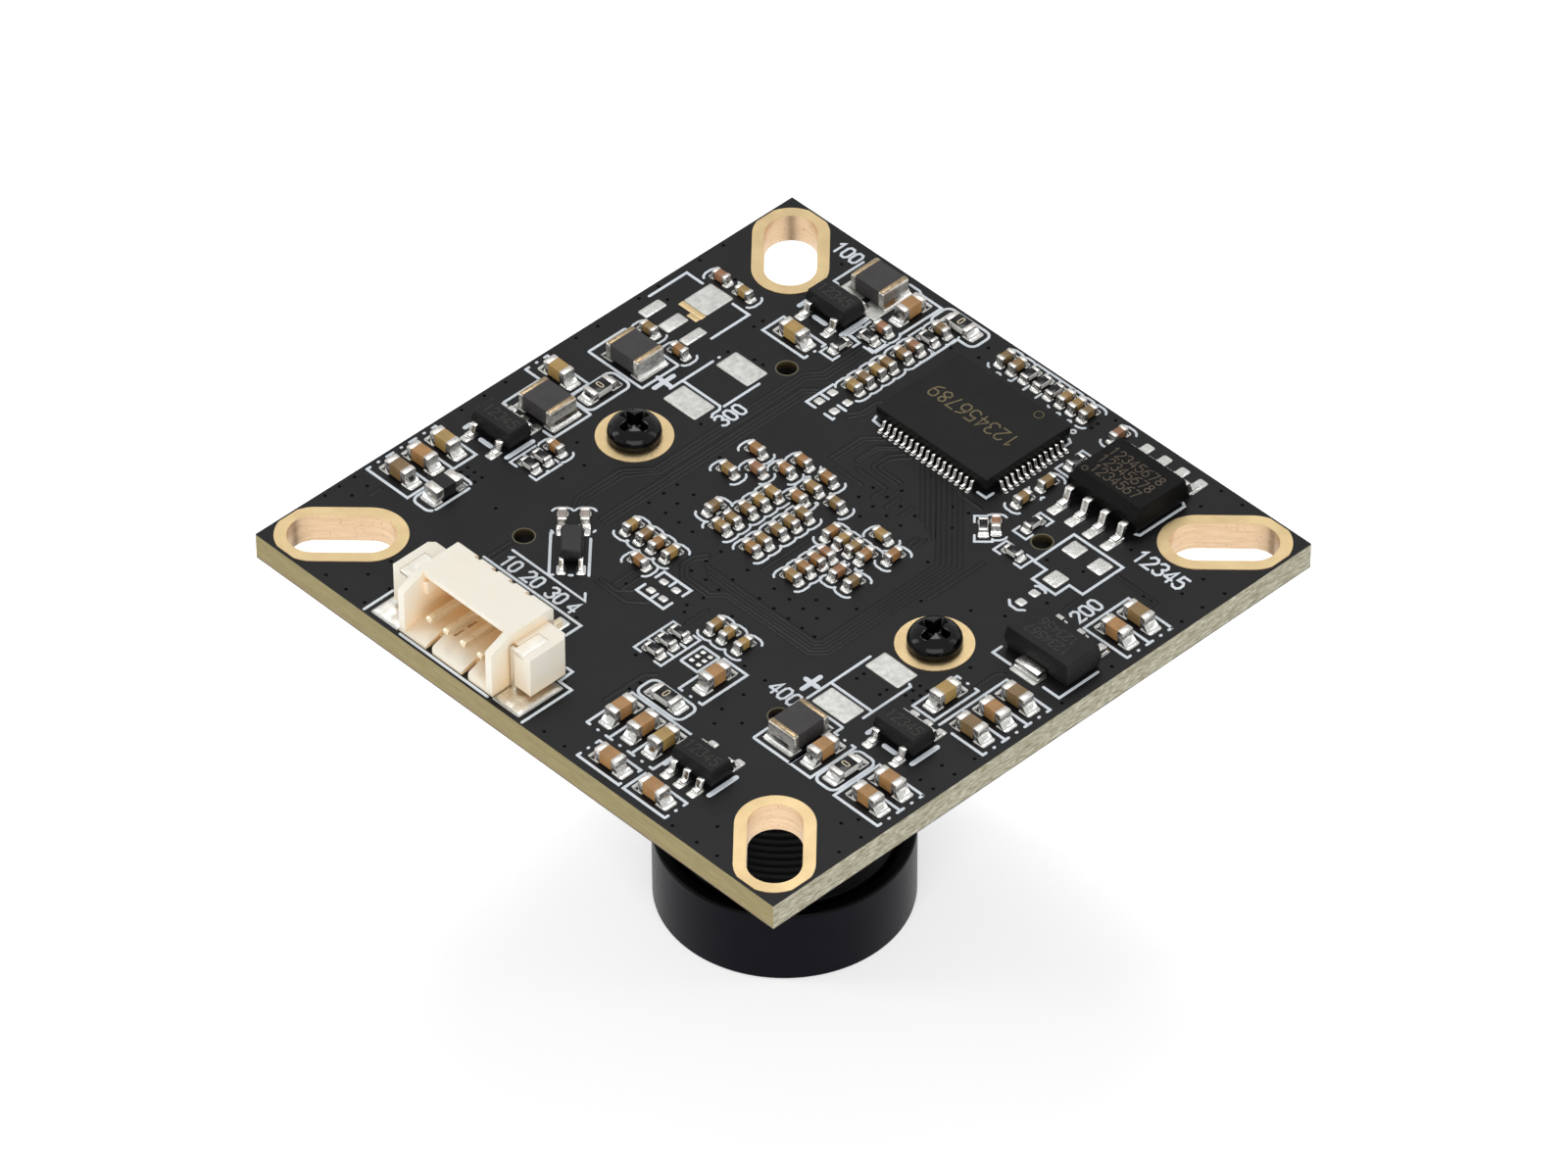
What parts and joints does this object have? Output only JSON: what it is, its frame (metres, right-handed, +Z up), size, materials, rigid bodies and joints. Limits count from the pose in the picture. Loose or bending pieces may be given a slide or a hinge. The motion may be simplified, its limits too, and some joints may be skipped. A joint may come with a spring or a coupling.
{
  "type": "camera module",
  "caption": "Square camera circuit board with slotted corners, a plug-in connector and an M12 lens that turns in its holder to focus.",
  "frame": {"origin": "centre of the lens's front rim, on the optical axis", "axes": "+Z up the optical axis from the lens's front rim to the component side of the board; the plug goes in towards +Y from the -Y edge"},
  "size_m": [0.038, 0.038, 0.028],
  "materials": {
    "board_mask": "black solder mask over copper, satin gloss",
    "gold_plating": "gold-plated copper",
    "solder": "bright reflowed solder",
    "chip_plastic": "black moulding compound",
    "tinned_lead": "matte tin over copper",
    "inductor_grey": "grey resin over ferrite",
    "bead_black": "black ferrite with metal ends",
    "ceramic_brown": "brown ceramic with tinned ends",
    "resistor_black": "black film on white ceramic, tinned ends",
    "connector_cream": "natural nylon",
    "contact_metal": "tin-plated bronze",
    "screw_black": "black oxide, glossy",
    "holder_black": "black glass-filled plastic",
    "filter_glass": "coated filter glass",
    "sensor_laminate": "dark laminate",
    "sensor_silicon": "polished silicon",
    "barrel_black": "black anodised aluminium",
    "ring_black": "dull black anodised aluminium",
    "lens_glass": "coated optical glass"
  },
  "bodies": {
    "module": {"circuit_board": "board_mask", "slot_plating": "gold_plating", "screw_lands": "gold_plating", "solder_pads": "solder", "processor_body": "chip_plastic", "processor_leads": "tinned_lead", "flash_body": "chip_plastic", "flash_leads": "tinned_lead", "regulator_body": "chip_plastic", "regulator_leads": "tinned_lead", "small_chip_bodies": "chip_plastic", "small_chip_leads": "tinned_lead", "diode_array_body": "chip_plastic", "diode_array_leads": "tinned_lead", "power_inductors": "inductor_grey", "ferrite_bead": "bead_black", "small_capacitors": "ceramic_brown", "tiny_capacitors": "ceramic_brown", "tiny_resistors": "resistor_black", "zero_ohm_links": "resistor_black", "connector_housing": "connector_cream", "connector_contacts": "contact_metal", "connector_nails": "contact_metal", "holder_screws": "screw_black", "lens_holder": "holder_black", "infrared_filter": "filter_glass", "sensor_package": "sensor_laminate", "sensor_die": "sensor_silicon", "sensor_cover_glass": "lens_glass"},
    "lens": {"lens_barrel": "barrel_black", "front_keeper_ring": "ring_black", "front_element": "lens_glass", "long_spacer": "ring_black", "second_element": "lens_glass", "stop_ring": "ring_black", "third_element": "lens_glass", "short_spacer": "ring_black", "rear_element": "lens_glass", "rear_keeper_ring": "ring_black"}
  },
  "joints": [
    {"name": "focus_turn", "type": "hinge", "parent": "module", "child": "lens", "pos_m": [0, 0, 0.0125], "axis": [0, 0, 1], "range_deg": [-180, 180]}
  ]
}
